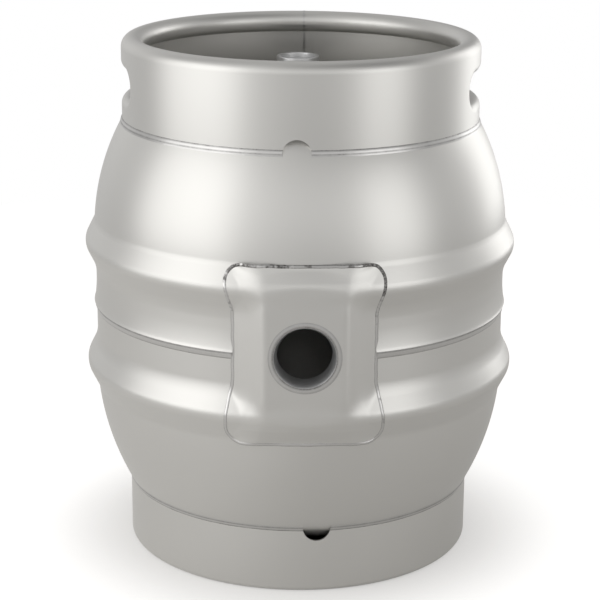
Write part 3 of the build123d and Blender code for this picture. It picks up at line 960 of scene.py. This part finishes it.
def crowned(one, two, crown, steps=6):
    """Places from one place to another, along a shallow crown to the right of the way."""
    one, two = Vector(one), Vector(two)
    along = two - one
    side = Vector((along.z, 0, -along.x)).normalized()
    shares = [step / steps for step in range(steps + 1)]
    return [one + along * s + side * (crown * 4 * s * (1 - s)) for s in shares]


def scorch(piece, welds, share_at, lines):
    """Darkens a bead along lines, partly as painted shade in the grooves at its toes and partly as
    heat tint: each line has its share of the way across, reach and darkness.
    """
    burn = piece.data.attributes.new("burn", "FLOAT", "POINT")
    for v, entry in zip(piece.data.vertices, burn.data):
        share = share_at(v.co)
        ragged = 0.75 + 0.25 * noise.noise(v.co / welds.scorch_pitch)
        entry.value = ragged * max(
            dark * max(0, 1 - abs(share - line) / reach) for line, reach, dark in lines
        )


def roughen(bm, welds, amount=1.0):
    """Gives a round bead the ripples and small waves of hand welding."""
    for v in bm.verts:
        out = Vector((v.co.x, v.co.y, 0)).normalized()
        ripple = noise.noise(v.co / welds.ripple_pitch) * welds.ripple
        wave = noise.noise(v.co / welds.wave_pitch) * welds.ripple * 2
        v.co += out * (min(ripple + wave, welds.ripple * 1.5) * amount)


class CASK_OT_shive_bush(Operator):
    """Models the turned shive bush and the bead round it"""

    bl_idname = "cask.shive_bush"
    bl_label = "Shive bush"

    def execute(self, context):
        barrel, bushes, panel, welds = settings(context, "barrel", "bushes", "panel", "welds")
        centre = Vector((0, 0, barrel.equator))

        def at(radius, forward):
            return Vector((radius, -forward, barrel.equator))

        bm = bmesh.new()
        corners = start_line(bm, [
            at(bushes.shive_lip, bushes.shive_front),
            at(
                bushes.shive_lip + bushes.groove_width / 2,
                bushes.shive_front - bushes.groove_depth,
            ),
            at(bushes.shive_lip + bushes.groove_width, bushes.shive_front),
            at(bushes.shive_radius, bushes.shive_front),
            at(bushes.shive_radius, bushes.shive_back),
            at(bushes.shive_land, bushes.shive_back),
            at(bushes.shive_land, bushes.shive_front - bushes.shive_taper),
            at(bushes.shive_mouth - bushes.edge_break, bushes.shive_front - bushes.shive_entry),
        ], closed=True)
        bend_corner(bm, corners[0], bushes.edge_break / 2, 4)
        bend_corner(bm, corners[3], bushes.edge_break, 5)
        bend_corner(bm, corners[7], bushes.entry_bend, 10)
        lathe(bm, centre, (0, 1, 0), steps=192)
        bush = piece_from("shive_bush_turned", bm, 20.0)
        finish_piece(bush, "shive_bush", "turned_stainless")

        bm = bmesh.new()
        toe = panel.face
        crest = panel.face + welds.shive_proud
        half_way = (bushes.shive_radius + welds.shive_ring) / 2
        corners = start_line(bm, [
            at(bushes.shive_radius, toe - barrel.sheet / 2),
            at(bushes.shive_radius, toe + welds.shive_proud / 3),
            at(half_way, crest),
            at(welds.shive_ring, toe),
            at(welds.shive_ring, toe - barrel.sheet / 2),
        ], closed=True)
        bend_corner(bm, corners[2], welds.crest_bend, 6)
        lathe(bm, centre, (0, 1, 0), steps=288)
        ring = piece_from("shive_bush_bead", bm, 40.0)
        width = welds.shive_ring - bushes.shive_radius
        # Painted shade: darkest where the bead meets the bush and fainter at its outer toe, partly
        # shade in those grooves and partly heat tint
        scorch(
            ring, welds,
            lambda place: (math.hypot(place.x, place.z - centre.z) - bushes.shive_radius) / width,
            ((0.0, 0.3, 1.0), (1.0, 0.25, 0.45)),
        )
        finish_piece(ring, "shive_bush_weld", "stainless_weld")
        return {"FINISHED"}


class CASK_OT_keystone_bush(Operator):
    """Models the turned keystone bush and its fillet on the head"""

    bl_idname = "cask.keystone_bush"
    bl_label = "Keystone bush"

    def execute(self, context):
        barrel, bushes, welds = settings(context, "barrel", "bushes", "welds")
        centre = Vector((0, bushes.keystone_reach, 0))

        def at(radius, height):
            return Vector((radius, bushes.keystone_reach, height))

        bm = bmesh.new()
        corners = start_line(bm, [
            at(bushes.keystone_mouth, bushes.keystone_top),
            at(bushes.keystone_radius, bushes.keystone_top),
            at(bushes.keystone_radius, bushes.keystone_foot),
            at(bushes.keystone_land, bushes.keystone_foot),
            at(bushes.keystone_land, bushes.keystone_top - bushes.keystone_taper),
        ], closed=True)
        for corner in corners[:2]:
            bend_corner(bm, corner, 2 * bushes.edge_break, 6)
        lathe(bm, centre, (0, 0, 1), steps=160)
        bush = piece_from("keystone_bush_turned", bm, 20.0)
        finish_piece(bush, "keystone_bush", "turned_stainless")

        skin = Skin(barrel)
        around, across = 144, 12
        waves, unevenness, squash = 6, 0.12, 0.8
        bm = bmesh.new()
        bmesh.ops.create_grid(bm, x_segments=around, y_segments=across, size=0.5)
        for v in bm.verts:
            turn = v.co.x * math.tau
            roll = v.co.y * math.tau
            swell = 1 + unevenness * noise.noise(Vector((turn * waves, 0, 3)))
            swell *= welds.keystone_bead
            radius = bushes.keystone_radius + swell * math.cos(roll) * squash
            x = radius * math.cos(turn)
            y = bushes.keystone_reach + radius * math.sin(turn)
            height = skin.height(1, math.hypot(x, y))
            v.co = (x, y, height + swell * math.sin(roll))
        close_up(bm)
        bead = piece_from("keystone_bush_bead", bm, 60.0)
        finish_piece(bead, "keystone_bush_weld", "stainless_weld")
        return {"FINISHED"}


def draw_top_chime(bm, barrel, chimes, grow=0.0):
    """Draws the top chime's section: an upright wall with a rim curled inwards."""
    outside = chimes.top_radius + grow
    inside = chimes.top_radius - chimes.sheet - grow
    middle = Vector((chimes.top_radius - chimes.curl, 0, chimes.rim - chimes.curl))
    outer = bm.verts.new((outside, 0, middle.z))
    inner = bm.verts.new((inside, 0, middle.z))
    outer_tip = swing(bm, outer, middle, chimes.curl_turn, 44)
    inner_tip = swing(bm, inner, middle, chimes.curl_turn, 44)
    bm.edges.new((outer_tip, inner_tip))
    skin = Skin(barrel)
    outer_foot = bm.verts.new((outside, 0, skin.height(1, outside)))
    inner_foot = bm.verts.new((inside, 0, skin.height(1, inside)))
    for one, two in ((outer, outer_foot), (outer_foot, inner_foot), (inner_foot, inner)):
        bm.edges.new((one, two))


def set_slot(verts, chimes, spread, depth=0.0):
    """Puts the points of a slot's ring at a spread from the slot and a depth in the wall."""
    stretch = chimes.hold_length / 2 - chimes.hold_round
    for v in verts:
        middle = max(-stretch, min(stretch, v.co.y))
        out = Vector((v.co.y - middle, v.co.z)).normalized() * (chimes.hold_round + spread)
        v.co = (-depth, middle + out.x, out.y)


def draw_slot(bm, chimes, spread):
    """Draws a hand hold's slot in the YZ plane, spread by the given distance."""
    stretch = chimes.hold_length / 2 - chimes.hold_round
    segments = 48
    half_step = Matrix.Rotation(math.pi / segments, 4, "X")
    bmesh.ops.create_circle(
        bm, segments=segments, radius=chimes.hold_round,
        matrix=half_step @ Matrix.Rotation(math.pi / 2, 4, "Y"),
    )
    for v in bm.verts:
        v.co.y += stretch if v.co.y > 0 else -stretch
    longest = [edge for edge in bm.edges if edge.calc_length() > stretch]
    bmesh.ops.subdivide_edges(bm, edges=longest, cuts=segments // 2)
    set_slot(bm.verts, chimes, spread)


def hold_lip(chimes):
    """A hand hold's rolled lip: the wall bends in round the slot and runs on as a flange."""
    steps = 8
    turns = [math.pi / 2 * step / steps for step in range(steps + 1)]
    inner_bend = chimes.hold_bend
    bend = inner_bend + chimes.sheet
    outer = [(bend * (1 - math.sin(turn)), bend * (1 - math.cos(turn))) for turn in turns]
    inner = [
        (bend - inner_bend * math.sin(turn), bend - inner_bend * math.cos(turn))
        for turn in turns
    ]
    edge = [(0, chimes.hold_depth), (chimes.sheet, chimes.hold_depth)]
    section = outer + edge + inner[::-1]
    bm = bmesh.new()
    draw_slot(bm, chimes, section[0][0])
    edges = bm.edges[:]
    for spread, depth in section[1:] + section[:1]:
        swept = bmesh.ops.extrude_edge_only(bm, edges=edges)["geom"]
        tips = set(verts_of(swept))
        edges = [e for e in swept if isinstance(e, bmesh.types.BMEdge) and tips.issuperset(e.verts)]
        set_slot(tips, chimes, spread, depth)
    for v in bm.verts:
        radius = chimes.top_radius + v.co.x
        v.co.x = math.sqrt(radius ** 2 - v.co.y ** 2)
        v.co.z += chimes.hold_height
    close_up(bm)
    turn_round(bm, chimes.top_notch_turn)
    return bm


def hold_cutter(chimes):
    """A closed slot-shaped bar through both sides of the chime, on the lips' outer edge."""
    reach = chimes.top_radius + OVERRUN
    bm = bmesh.new()
    draw_slot(bm, chimes, chimes.hold_bend + chimes.sheet)
    bmesh.ops.translate(bm, verts=bm.verts, vec=(-reach, 0, chimes.hold_height))
    draw_out(bm, (2 * reach, 0, 0))
    turn_round(bm, chimes.top_notch_turn)
    bmesh.ops.recalc_face_normals(bm, faces=bm.faces)
    return piece_from("cutter", bm)


def notch_cutter(chimes, turn, height):
    """A round bar out from the axis that cuts a drain notch."""
    start = outwards(turn) * chimes.foot_radius / 2 + Vector((0, 0, height))
    return rod(start, outwards(turn), chimes.notch, chimes.foot_radius)


def top_notch_height(barrel, chimes):
    """Height of the top drain notch's middle."""
    return Skin(barrel).height(1, chimes.top_radius) - chimes.top_notch_drop


def foot_notch_height(barrel, chimes):
    """Height of the foot drain notch's middle."""
    return Skin(barrel).height(-1, chimes.foot_radius) + chimes.foot_notch_drop


def draw_foot_chime(bm, barrel, chimes, grow=0.0):
    """Draws the foot chime's section: an upright wall turned in at the floor."""
    outside = chimes.foot_radius + grow
    inside = chimes.foot_radius - chimes.sheet - grow
    toe = outside - chimes.foot_flange
    skin = Skin(barrel)
    corners = start_line(bm, [
        (outside, 0, skin.height(-1, outside)),
        (outside, 0, 0),
        (toe, 0, 0),
        (toe, 0, chimes.sheet + grow),
        (inside, 0, chimes.sheet + grow),
        (inside, 0, skin.height(-1, inside)),
    ], closed=True)
    bend_corner(bm, corners[1], chimes.foot_bend, 8)
    bend_corner(bm, corners[2], chimes.sheet / 3, 3)
    bend_corner(bm, corners[3], chimes.sheet / 3, 3)
    bend_corner(bm, corners[4], chimes.foot_bend - chimes.sheet, 6)


class CASK_OT_top_chime(Operator):
    """Models the top chime with its curl, its hand holds and its drain notch"""

    bl_idname = "cask.top_chime"
    bl_label = "Top chime"

    def execute(self, context):
        barrel, chimes = settings(context, "barrel", "chimes")
        bm = bmesh.new()
        draw_top_chime(bm, barrel, chimes)
        lathe(bm, steps=360)
        chime = piece_from("chime_top", bm)
        cut(chime, hold_cutter(chimes))
        notch = notch_cutter(chimes, chimes.top_notch_turn, top_notch_height(barrel, chimes))
        cut(chime, notch)
        bm = bmesh.new()
        bm.from_mesh(chime.data)
        lip = hold_lip(chimes)
        lip_mesh = bpy.data.meshes.new("lip")
        for turn in (0, math.pi):
            turn_round(lip, turn)
            lip.to_mesh(lip_mesh)
            bm.from_mesh(lip_mesh)
        lip.free()
        bpy.data.meshes.remove(lip_mesh)
        bm.to_mesh(chime.data)
        bm.free()
        smooth(chime.data)
        finish_piece(chime, "top_chime", "satin_stainless")
        return {"FINISHED"}


class CASK_OT_foot_chime(Operator):
    """Models the foot chime with its turned-in foot and its drain notch"""

    bl_idname = "cask.foot_chime"
    bl_label = "Foot chime"

    def execute(self, context):
        barrel, chimes = settings(context, "barrel", "chimes")
        bm = bmesh.new()
        draw_foot_chime(bm, barrel, chimes)
        lathe(bm, steps=360)
        chime = piece_from("chime_foot", bm)
        notch = notch_cutter(chimes, chimes.foot_notch_turn, foot_notch_height(barrel, chimes))
        cut(chime, notch)
        finish_piece(chime, "foot_chime", "satin_stainless")
        return {"FINISHED"}


class CASK_OT_chime_welds(Operator):
    """Models the fillet beads between the domes and the chimes"""

    bl_idname = "cask.chime_welds"
    bl_label = "Chime welds"

    def execute(self, context):
        barrel, chimes, welds = settings(context, "barrel", "chimes", "welds")
        skin = Skin(barrel)
        rows = (
            ("top_chime_weld", 1, chimes.top_radius, chimes.top_notch_turn,
             top_notch_height(barrel, chimes)),
            ("foot_chime_weld", -1, chimes.foot_radius, chimes.foot_notch_turn,
             foot_notch_height(barrel, chimes)),
        )
        for node, half, radius, turn, height in rows:
            corner = skin.height(half, radius)
            toe = skin.height(half, radius + welds.toe)
            top = corner + half * welds.leg
            bm = bmesh.new()
            face = crowned((radius + welds.toe, 0, toe), (radius, 0, top), half * welds.bulge)
            start_line(bm, face + [(radius, 0, corner)], closed=True)
            lathe(bm, steps=900)
            roughen(bm, welds, amount=0.5)
            bead = piece_from(node.replace("_weld", "_bead"), bm, 50.0)
            cut(bead, notch_cutter(chimes, turn, height), sharp=50.0)
            # Painted shade: darkest where the bead meets the chime's wall, with a lighter line near
            # its toe on the dome, partly shade in those grooves and partly heat tint
            scorch(
                bead, welds, lambda place: (place.z - toe) / (top - toe),
                ((0.35, 0.2, 0.8), (1.0, 0.3, 1.0)),
            )
            finish_piece(bead, node, "stainless_weld")
        return {"FINISHED"}


class CASK_OT_seam_welds(Operator):
    """Models the upright butt welds where the ends of each chime's strip meet"""

    bl_idname = "cask.seam_welds"
    bl_label = "Chime seams"

    def execute(self, context):
        barrel, chimes = settings(context, "barrel", "chimes")
        rows = (
            ("top_chime_seam_weld", draw_top_chime, chimes.top_notch_turn, chimes.top_radius),
            ("foot_chime_seam_weld", draw_foot_chime, chimes.foot_notch_turn,
             chimes.foot_radius),
        )
        for node, draw, notch, radius in rows:
            bm = bmesh.new()
            draw(bm, barrel, chimes, chimes.seam_proud / 2)
            width = chimes.seam_width / radius
            section = bmesh.ops.contextual_create(bm, geom=bm.edges[:])["faces"]
            turn_round(bm, notch + math.pi / 2 - width / 2)
            bmesh.ops.spin(
                bm, geom=section, cent=(0, 0, 0), axis=(0, 0, 1), angle=width, steps=4,
                use_duplicate=False,
            )
            close_up(bm)
            seam = piece_from(node.replace("_weld", "_bead"), bm, 40.0)
            finish_piece(seam, node, "stainless_weld")
        return {"FINISHED"}


class CASK_OT_stage(Operator):
    """Sets up the white floor, the studio light and the camera"""

    bl_idname = "cask.stage"
    bl_label = "Stage"

    # Soft boxes: azimuth from the front in degrees, distance from the axis, width, height of
    # the lower and the upper edge in metres, and strength
    soft_boxes = (
        (-64, 0.95, 0.98, 0.17, 1.10, 1.12),
        (48, 0.95, 0.52, 0.17, 0.90, 0.95),
        (127, 0.95, 0.52, 0.17, 0.90, 1.30),
    )
    # Glows on the room's walls: azimuth and height over the horizon in degrees, half width in
    # degrees, how many times taller than wide, and strength
    glows = (
        (-48, 10, 36, 1.0, 0.50),
        (46, 8, 27, 1.0, 0.36),
        (122, 8, 27, 1.0, 0.55),
        (-145, 12, 28, 1.0, 0.50),
        (2, 20, 32, 0.6, 0.36),
        (-72, 60, 20, 1.0, 0.50),
        (180, 64, 20, 1.0, 0.40),
    )
    # The dim room behind them: height over the horizon in degrees, and strength
    room = ((-90, 0.45), (-16, 0.33), (4, 0.34), (30, 0.40), (46, 0.30), (64, 0.18), (90, 0.30))
    room_tint = (1.0, 0.995, 0.995)
    # Where the floor's light starts and where it is full, in metres: its own light and its
    # lift to white, both out from the foot's edge, and the glow of its left side, across it.
    # The lift starts at half near the foot, which paints a shadow round it, and the left glow
    # is a painted pool of light that only the metal's reflections see
    clear_ends = (-18 * MM, -6 * MM)
    lift_ends = (-25 * MM, 110 * MM)
    side_ends = (60 * MM, -180 * MM)

    def execute(self, context):
        stage = context.scene.cask_stage
        self.lay_floor(stage)
        self.light_world(context.scene, stage)
        self.hang_boxes(context.scene, stage)
        self.place_camera(context.scene, stage)
        context.scene.view_settings.view_transform = "Standard"
        return {"FINISHED"}

    def lay_floor(self, stage):
        """A round white floor. The camera sees it lifted to white, with the cask's shadow: real
        shade on the paper, deepened by painted shadow where the lift fades near the foot. The
        metal's reflections see the floor glow, with a painted pool of light on its left.
        """
        bm = bmesh.new()
        bmesh.ops.create_circle(bm, cap_ends=True, segments=96, radius=stage.floor_reach)
        floor = piece_from("floor", bm)
        material, tree, output = new_material("matt_white_paper")
        paper = add_node(
            tree, "ShaderNodeBsdfDiffuse", None, {"Color": tinted(stage.paper)}
        ).outputs["BSDF"]
        seen = add_node(tree, "ShaderNodeLightPath").outputs["Is Camera Ray"]
        place = add_node(tree, "ShaderNodeTexCoord").outputs["Object"]
        away = add_node(
            tree, "ShaderNodeVectorMath", {"operation": "LENGTH"}, None, {0: place}
        ).outputs["Value"]
        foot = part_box("foot_chime")[1].x
        # Painted shadow: no floor light at all under the foot
        clear = add_node(
            tree, "ShaderNodeMapRange", None,
            {"From Min": foot + self.clear_ends[0], "From Max": foot + self.clear_ends[1]},
            {"Value": away},
        ).outputs["Result"]
        # Painted shadow: the lift is halved near the foot, so a darker ring is painted round it on
        # top of the real shadow
        lift = add_node(
            tree, "ShaderNodeMapRange", {"interpolation_type": "SMOOTHSTEP"},
            {"From Min": foot + self.lift_ends[0], "From Max": foot + self.lift_ends[1],
             "To Min": stage.floor_lift / 2, "To Max": stage.floor_lift},
            {"Value": away},
        ).outputs["Result"]
        across = add_node(
            tree, "ShaderNodeSeparateXYZ", None, None, {"Vector": place}
        ).outputs["X"]
        # Painted light: a brighter pool on the floor's left, seen only in the metal's reflections
        side = add_node(
            tree, "ShaderNodeMapRange", {"interpolation_type": "SMOOTHSTEP"},
            {"From Min": self.side_ends[0], "From Max": self.side_ends[1],
             "To Min": stage.floor_glow, "To Max": stage.floor_side_glow},
            {"Value": across},
        ).outputs["Result"]
        either = add_node(
            tree, "ShaderNodeMix", {"data_type": "FLOAT"}, None, {0: seen, 2: side, 3: lift}
        ).outputs[0]
        strength = add_node(
            tree, "ShaderNodeMath", {"operation": "MULTIPLY"}, None, {0: either, 1: clear}
        ).outputs["Value"]
        glow = add_node(
            tree, "ShaderNodeEmission", None, {"Color": (1, 1, 1, 1)}, {"Strength": strength}
        ).outputs["Emission"]
        both = add_node(tree, "ShaderNodeAddShader", None, None, {0: paper, 1: glow})
        tree.links.new(both.outputs["Shader"], output.inputs["Surface"])
        floor.data.materials.append(material)

    def light_world(self, scene, stage):
        """The dim room with its soft glows on the metal; plain white to the camera."""
        world = bpy.data.worlds.new("studio")
        scene.world = world
        world.use_nodes = True
        tree = world.node_tree
        tree.nodes.clear()
        output = tree.nodes.new("ShaderNodeOutputWorld")
        way = add_node(tree, "ShaderNodeTexCoord").outputs["Generated"]
        up = add_node(tree, "ShaderNodeSeparateXYZ", None, None, {"Vector": way}).outputs["Z"]
        height = add_node(
            tree, "ShaderNodeMath", {"operation": "ARCSINE"}, None, {0: up}
        ).outputs["Value"]
        share = add_node(
            tree, "ShaderNodeMapRange", None,
            {"From Min": -math.pi / 2, "From Max": math.pi / 2}, {"Value": height},
        ).outputs["Result"]
        ramp = add_node(tree, "ShaderNodeValToRGB", None, None, {"Fac": share})
        stops = ramp.color_ramp.elements
        while len(stops) < len(self.room):
            stops.new(0.5)
        for stop, (degrees, strength) in zip(stops, self.room):
            stop.position = (degrees + 90) / 180
            stop.color = (*(strength * part for part in self.room_tint), 1)
        total = ramp.outputs["Color"]
        for glow in self.glows:
            total = self.add_glow(tree, way, total, *glow)
        studio = add_node(
            tree, "ShaderNodeBackground", None, {"Strength": stage.light}, {"Color": total}
        ).outputs["Background"]
        white = add_node(
            tree, "ShaderNodeBackground", None, {"Color": (1, 1, 1, 1), "Strength": 1.0}
        ).outputs["Background"]
        seen = add_node(tree, "ShaderNodeLightPath").outputs["Is Camera Ray"]
        both = add_node(tree, "ShaderNodeMixShader", None, None, {0: seen, 1: studio, 2: white})
        tree.links.new(both.outputs["Shader"], output.inputs["Surface"])

    def add_glow(self, tree, way, total, azimuth, height, half_width, tallness, strength):
        """Adds one soft glow to the light of the room."""
        turn, rise = math.radians(azimuth), math.radians(height)
        flat = Vector((1, 1, 1 / tallness))
        aim = (outwards(turn) * math.cos(rise) + Vector((0, 0, math.sin(rise)))) * flat
        squashed = add_node(
            tree, "ShaderNodeVectorMath", {"operation": "MULTIPLY"}, {1: flat}, {0: way}
        ).outputs["Vector"]
        ray = add_node(
            tree, "ShaderNodeVectorMath", {"operation": "NORMALIZE"}, None, {0: squashed}
        ).outputs["Vector"]
        near = add_node(
            tree, "ShaderNodeVectorMath", {"operation": "DOT_PRODUCT"}, {1: aim.normalized()},
            {0: ray},
        ).outputs["Value"]
        off = add_node(
            tree, "ShaderNodeMath", {"operation": "ARCCOSINE"}, None, {0: near}
        ).outputs["Value"]
        glow = add_node(
            tree, "ShaderNodeMapRange", {"interpolation_type": "SMOOTHSTEP"},
            {"From Min": 2 * math.radians(half_width), "From Max": 0.0, "To Max": strength},
            {"Value": off},
        ).outputs["Result"]
        return add_node(
            tree, "ShaderNodeVectorMath", {"operation": "ADD"}, None, {0: total, 1: glow}
        ).outputs["Vector"]

    def hang_boxes(self, scene, stage):
        """Tall soft boxes that stand round the cask just outside the picture."""
        for azimuth, away, width, low, high, strength in self.soft_boxes:
            data = bpy.data.lights.new("soft_box", "AREA")
            data.shape = "RECTANGLE"
            data.size, data.size_y = width, high - low
            data.energy = strength * stage.light * math.pi * width * (high - low)
            lamp = bpy.data.objects.new(data.name, data)
            scene.collection.objects.link(lamp)
            out = outwards(math.radians(azimuth))
            lamp.matrix_world = (
                Matrix.Translation(out * away + Vector((0, 0, (low + high) / 2)))
                @ out.to_track_quat("Z", "Y").to_matrix().to_4x4()
            )
            lamp.visible_camera = False

    def place_camera(self, scene, stage):
        """The photograph's camera."""
        data = bpy.data.cameras.new("camera")
        data.lens = stage.camera_lens
        data.sensor_width = stage.camera_sensor
        data.sensor_fit = "HORIZONTAL"
        camera = bpy.data.objects.new("camera", data)
        scene.collection.objects.link(camera)
        place = Vector((stage.camera_across, -stage.camera_back, stage.camera_height))
        look = (
            Matrix.Rotation(-stage.camera_yaw, 4, "Z")
            @ Matrix.Rotation(math.pi / 2 - stage.camera_pitch, 4, "X")
            @ Matrix.Rotation(stage.camera_roll, 4, "Z")
        )
        camera.matrix_world = Matrix.Translation(place) @ look
        scene.camera = camera


class CASK_PT_sidebar(Panel):
    """Lists the cask's steps and its settings"""

    bl_idname = "CASK_PT_sidebar"
    bl_label = "Stainless steel cask"
    bl_space_type = "VIEW_3D"
    bl_region_type = "UI"
    bl_category = "Cask"

    def draw(self, context):
        for operator in OPERATORS:
            self.layout.operator(operator.bl_idname)
        for name, group in GROUPS.items():
            box = self.layout.box()
            box.label(text=group.__name__)
            for setting in group.__annotations__:
                box.prop(getattr(context.scene, name), setting)


OPERATORS = (
    CASK_OT_stage,
    CASK_OT_shells,
    CASK_OT_insert,
    CASK_OT_insert_weld,
    CASK_OT_girth_weld,
    CASK_OT_shive_bush,
    CASK_OT_keystone_bush,
    CASK_OT_top_chime,
    CASK_OT_foot_chime,
    CASK_OT_chime_welds,
    CASK_OT_seam_welds,
)


def register():
    """Registers the settings, the operators and the panel."""
    for name, group in GROUPS.items():
        bpy.utils.register_class(group)
        setattr(bpy.types.Scene, name, PointerProperty(type=group))
    for operator in OPERATORS:
        bpy.utils.register_class(operator)
    bpy.utils.register_class(CASK_PT_sidebar)


def unregister():
    """Takes the panel, the operators and the settings away again."""
    bpy.utils.unregister_class(CASK_PT_sidebar)
    for operator in reversed(OPERATORS):
        bpy.utils.unregister_class(operator)
    for name, group in reversed(GROUPS.items()):
        delattr(bpy.types.Scene, name)
        bpy.utils.unregister_class(group)


def main():
    """Builds the dressed cask."""
    register()
    for operator in OPERATORS:
        step = operator.bl_idname.split(".")[1]
        getattr(bpy.ops.cask, step)()


if __name__ == "__main__":
    main()
